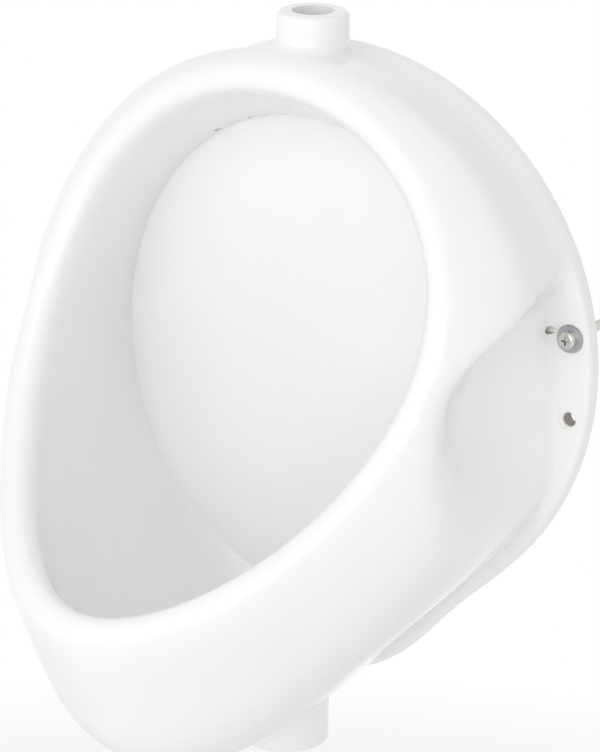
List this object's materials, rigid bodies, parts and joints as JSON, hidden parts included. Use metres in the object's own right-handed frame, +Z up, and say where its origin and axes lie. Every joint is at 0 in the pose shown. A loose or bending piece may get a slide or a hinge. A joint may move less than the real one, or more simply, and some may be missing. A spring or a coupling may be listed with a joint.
{
  "type": "wall hung urinal",
  "caption": "Wall hung flat-back bowl urinal in white glazed china with a rolled rim, hollowed flanks, a top inlet horn and a bottom outlet horn.",
  "frame": {"origin": "on the wall plane, on the centre line, level with the lower pair of fixing holes", "axes": "+X to the right seen from the front, +Y into the wall (the bowl opens toward -Y), +Z up"},
  "size_m": [0.363, 0.3155, 0.4614],
  "materials": {
    "glazed_china": "glossy white glaze",
    "seal_rubber": "matte black",
    "strainer_steel": "polished stainless steel",
    "washer_nylon": "natural nylon",
    "washer_steel": "bright zinc plate",
    "screw_steel": "bright nickel plate"
  },
  "bodies": {
    "china": {"bowl_body": "glazed_china", "strainer_ring": "seal_rubber", "cushion_washer_left": "washer_nylon", "cushion_washer_right": "washer_nylon", "steel_washer_left": "washer_steel", "steel_washer_right": "washer_steel", "fixing_screw_left": "screw_steel", "fixing_screw_right": "screw_steel"},
    "strainer": {"outlet_strainer": "strainer_steel"}
  },
  "joints": [
    {"name": "strainer_lift", "type": "slide", "parent": "china", "child": "strainer", "axis": [0, 0, 1], "range_m": [0, 0.06]}
  ]
}
